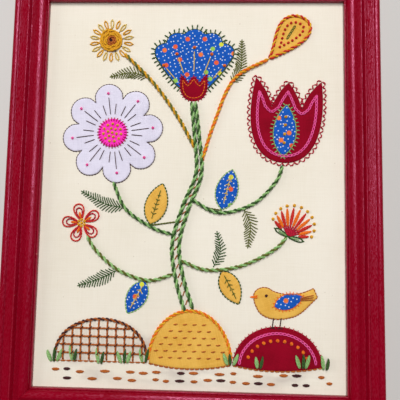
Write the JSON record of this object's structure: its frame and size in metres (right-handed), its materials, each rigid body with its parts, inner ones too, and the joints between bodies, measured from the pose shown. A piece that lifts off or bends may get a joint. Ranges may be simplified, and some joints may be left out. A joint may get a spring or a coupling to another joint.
{
  "type": "framed crewel embroidery",
  "caption": "Crewel and applique flower tree on cream cotton, stretched over a board and held in a moulded wooden frame with satin red paint.",
  "frame": {"origin": "middle of the frame's back, on the surface it lies on", "axes": "+Z out of the picture's face, +Y towards the picture's top, +X to its right"},
  "size_m": [0.33, 0.4062, 0.0178],
  "materials": {
    "frame_paint": "moulded wood under satin red paint with fine brush texture and worn edges",
    "cream_cotton": "plain-woven cream cotton",
    "card": "plain brown card",
    "red_cotton": "plain-woven dark red cotton",
    "gold_cotton": "plain-woven mustard cotton",
    "blue_calico": "blue cotton with small printed dots",
    "white_cotton": "plain-woven white cotton",
    "pink_felt": "bright pink felt",
    "green_yarn": "plied wool yarn in light, dark and olive greens",
    "brown_yarn": "plied wool yarn in rust and dark brown",
    "red_yarn": "plied wool yarn in scarlet and crimson",
    "orange_yarn": "plied wool yarn in orange and yellow",
    "pink_yarn": "plied wool yarn in bright pink"
  },
  "bodies": {
    "root": {"rail_bottom": "frame_paint", "rail_right": "frame_paint", "rail_top": "frame_paint", "rail_left": "frame_paint", "ground_cloth": "cream_cotton", "mount_board": "card", "patch_hillock_gold": "gold_cotton", "patch_hillock_red": "red_cotton", "patch_tulip": "red_cotton", "patch_tulip_heart": "blue_calico", "patch_daisy": "white_cotton", "patch_daisy_eye": "pink_felt", "patch_carnation": "blue_calico", "patch_carnation_cup": "red_cotton", "patch_paisley": "gold_cotton", "patch_leaf_left": "gold_cotton", "patch_leaf_right": "blue_calico", "patch_leaf_low_left": "blue_calico", "patch_leaf_low_right": "gold_cotton", "patch_bird": "gold_cotton", "patch_bird_wing": "blue_calico"}
  },
  "joints": []
}
